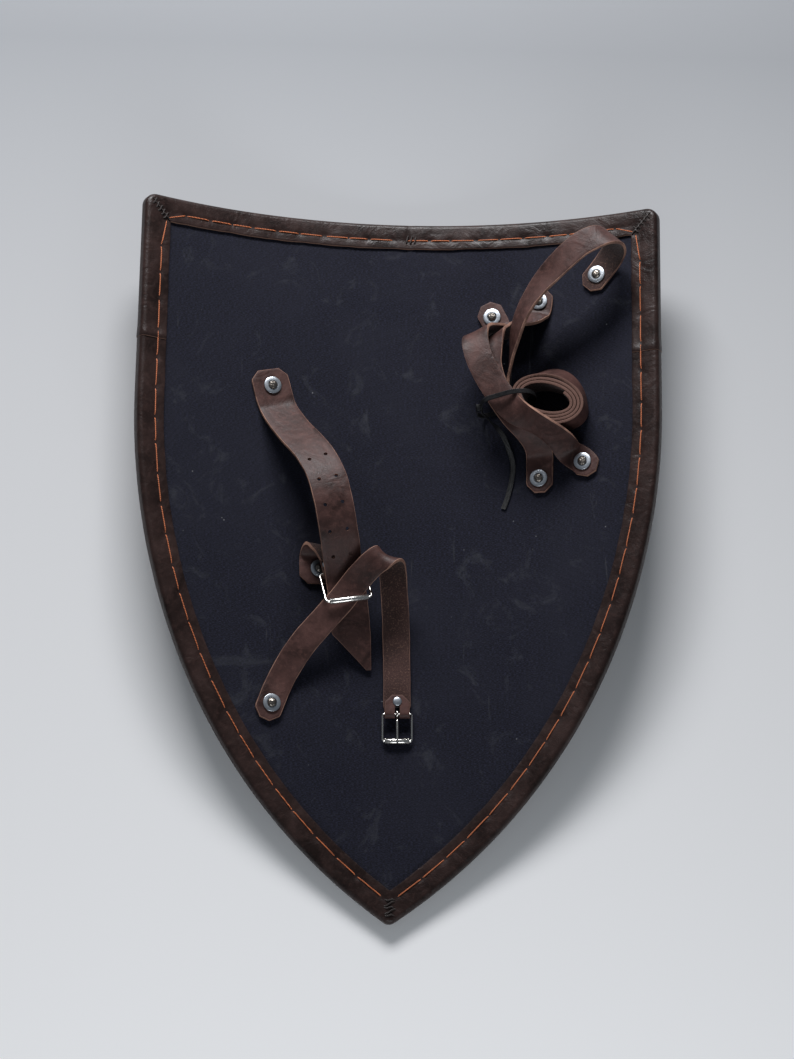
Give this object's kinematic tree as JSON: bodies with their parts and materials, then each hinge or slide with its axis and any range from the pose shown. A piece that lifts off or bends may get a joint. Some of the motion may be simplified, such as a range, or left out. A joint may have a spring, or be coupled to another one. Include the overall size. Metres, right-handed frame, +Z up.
{
  "type": "heater shield",
  "caption": "Curved heater shield lying inner side up: black canvas board, stitched leather edge, riveted arm and hand straps, and a coiled shoulder strap.",
  "frame": {"origin": "middle of the outline, at the lowest point of the curved outer face", "axes": "+Z up out of the hollow inner face, +Y towards the straight top edge, +X across the shield"},
  "size_m": [0.5064, 0.6999, 0.1119],
  "materials": {
    "black_canvas": "woven, matt, lightly scuffed",
    "edge_leather": "dark brown, satin",
    "strap_leather": "waxy brown grain side, rough flesh side",
    "zinc": "bright zinc plate",
    "rivet_steel": "hammered, dull",
    "nickel": "bright nickel plate",
    "black_nylon": "moulded, satin"
  },
  "bodies": {
    "root": {"board": "black_canvas", "edge_binding_top": "edge_leather", "edge_binding_right": "edge_leather", "edge_binding_left": "edge_leather", "arm_strap": "strap_leather", "arm_buckle_tab": "strap_leather", "guige_buckle_strap": "strap_leather", "guige_strap": "strap_leather", "outer_hand_strap": "strap_leather", "inner_hand_strap": "strap_leather", "cable_tie": "black_nylon", "large_buckle_frame": "nickel", "large_buckle_roller": "nickel", "large_buckle_prong_1": "nickel", "large_buckle_prong_2": "nickel", "small_buckle_frame": "nickel", "small_buckle_roller": "nickel", "small_buckle_prong": "nickel", "small_rivet_tab": "nickel", "small_rivet_flap": "nickel", "washer_arm_strap": "zinc", "rivet_arm_strap": "rivet_steel", "washer_arm_buckle_tab": "zinc", "rivet_arm_buckle_tab": "rivet_steel", "washer_guige_buckle_strap": "zinc", "rivet_guige_buckle_strap": "rivet_steel", "washer_guige_strap": "zinc", "rivet_guige_strap": "rivet_steel", "washer_outer_hand_strap_top": "zinc", "rivet_outer_hand_strap_top": "rivet_steel", "washer_inner_hand_strap_top": "zinc", "rivet_inner_hand_strap_top": "rivet_steel", "washer_inner_hand_strap_foot": "zinc", "rivet_inner_hand_strap_foot": "rivet_steel", "washer_outer_hand_strap_foot": "zinc", "rivet_outer_hand_strap_foot": "rivet_steel"}
  },
  "joints": []
}
